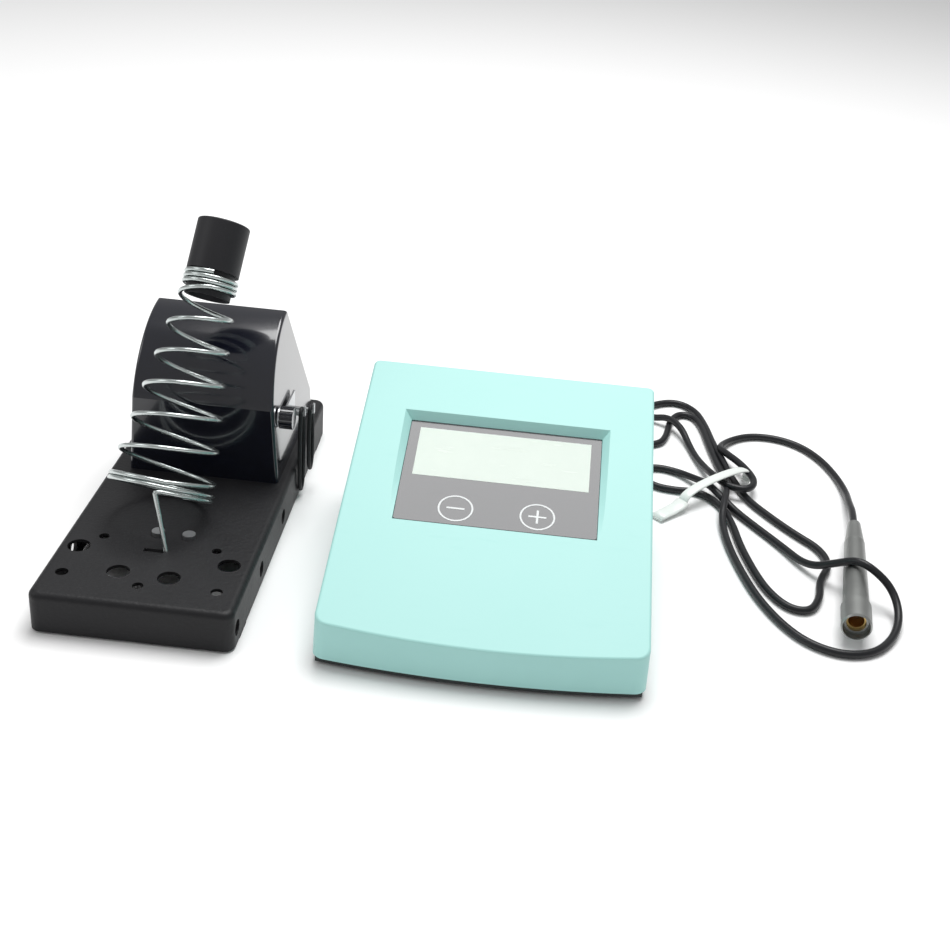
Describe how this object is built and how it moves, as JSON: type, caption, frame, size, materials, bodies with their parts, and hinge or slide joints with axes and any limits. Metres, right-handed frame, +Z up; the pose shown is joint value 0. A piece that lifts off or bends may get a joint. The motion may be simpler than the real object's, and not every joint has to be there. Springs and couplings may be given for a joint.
{
  "type": "soldering iron station",
  "caption": "Wedge-shaped soldering control unit with a tinted display, a tool stand with spring holder and cleaner hood, and a corded tool handle with its lead tied in a hank.",
  "frame": {"origin": "centre of the box round the stand, the control unit and the handle, at bench level", "axes": "+X to the right of a user facing the display, +Y to the back, +Z up"},
  "size_m": [0.3807, 0.298, 0.1454],
  "materials": {
    "case_teal": "satin moulded",
    "case_dark": "fine texture",
    "display_glass": "polished tinted panel",
    "lcd": "pale screen",
    "circuit_board": "solder mask",
    "steel": "plated",
    "component_black": "moulded",
    "copper": "enamelled wire",
    "component_white": "moulded",
    "cell_wrap": "shrink wrap",
    "switch_black": "moulded",
    "brass": "bright",
    "rubber_black": "matt",
    "powder_black": "textured powder coat",
    "zinc_wire": "bright zinc plate",
    "sleeve_black": "matt",
    "gloss_black": "gloss enamel",
    "handle_metal": "bead blasted",
    "insulator_brown": "phenolic",
    "lead_black": "satin",
    "tie_clear": "translucent silicone"
  },
  "bodies": {
    "set": {"band_clip": "powder_black", "battery_cells": "cell_wrap", "battery_holder": "component_black", "board_sockets": "component_white", "buzzer": "component_black", "case_screws": "steel", "charge_pin": "steel", "charge_socket": "switch_black", "charge_socket_nut": "steel", "choke_coil": "copper", "clamp_screws": "steel", "cleaner_hood": "gloss_black", "collar_ring": "rubber_black", "controller_chip": "component_black", "display_board": "circuit_board", "display_glass": "display_glass", "display_spacers": "steel", "handle_barrel": "handle_metal", "handle_tail": "handle_metal", "holder_spring": "zinc_wire", "hood_screws": "steel", "knob_washer": "steel", "lcd_panel": "lcd", "lead_bight": "lead_black", "lead_end": "lead_black", "lead_gland": "rubber_black", "lead_hank": "lead_black", "lead_rear": "lead_black", "lead_tie": "tie_clear", "main_board": "circuit_board", "main_board_screws": "steel", "power_capacitors": "component_black", "power_switch_case": "switch_black", "rubber_band": "rubber_black", "socket_contacts": "brass", "socket_insulator": "insulator_brown", "socket_shell": "brass", "spring_clamp": "powder_black", "stand_base": "powder_black", "stand_feet": "rubber_black", "station_bottom_shell": "case_dark", "station_feet": "rubber_black", "station_top_shell": "case_teal", "switch_terminals": "brass", "touch_springs": "steel", "tray_rails": "powder_black", "wire_tube": "insulator_brown"},
    "power_rocker": {"power_rocker": "switch_black"},
    "sleeve": {"holder_sleeve": "sleeve_black"},
    "wool_drawer": {"wool_tray": "powder_black", "brass_wool": "brass"},
    "knob": {"hood_knob": "sleeve_black"},
    "collar": {"locking_collar": "handle_metal"}
  },
  "joints": [
    {"name": "power_rocker_tilt", "type": "hinge", "parent": "set", "child": "power_rocker", "pos_m": [-0.0352, 0.0456, 0.03], "axis": [1, 0, 0], "range_deg": [-7, 7]},
    {"name": "sleeve_pull", "type": "slide", "parent": "set", "child": "sleeve", "axis": [0.1132, 0.5338, 0.838], "range_m": [0, 0.025]},
    {"name": "wool_drawer_slide", "type": "slide", "parent": "set", "child": "wool_drawer", "axis": [0, 1, 0], "range_m": [0, 0.05]},
    {"name": "hood_knob_turn", "type": "hinge", "parent": "set", "child": "knob", "pos_m": [-0.10538, 0.0203, 0.051], "axis": [1, 0, 0], "range_deg": [-180, 180]},
    {"name": "collar_turn", "type": "hinge", "parent": "set", "child": "collar", "pos_m": [0.16977, -0.03799, 0.01076], "axis": [0.1461, 0.9891, -0.0175], "range_deg": [0, 60]}
  ]
}
